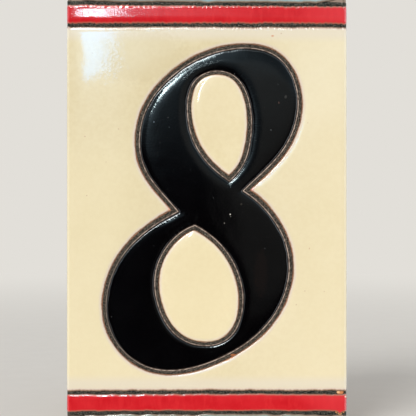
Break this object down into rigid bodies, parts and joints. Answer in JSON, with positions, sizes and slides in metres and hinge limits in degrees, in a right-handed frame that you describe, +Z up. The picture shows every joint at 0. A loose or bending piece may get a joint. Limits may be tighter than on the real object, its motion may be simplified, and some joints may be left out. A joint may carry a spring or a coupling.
{
  "type": "house number tile",
  "caption": "Upright rectangular glazed ceramic wall tile with one slanted raised numeral, framed by a coloured stripe at the top and the foot, with a keyed back.",
  "frame": {"origin": "centre of the tile's flat back, which lies against the wall", "axes": "+Z up the tile as it hangs, +X to the viewer's right, +Y into the wall; the glazed front faces -Y"},
  "size_m": [0.07, 0.007, 0.11],
  "materials": {
    "clay": "matte",
    "field_glaze": "gloss",
    "numeral_glaze": "gloss",
    "stripe_glaze": "gloss",
    "band_glaze": "gloss",
    "drawn_line": "matte"
  },
  "bodies": {
    "root": {"number_tile": "clay"}
  },
  "joints": []
}
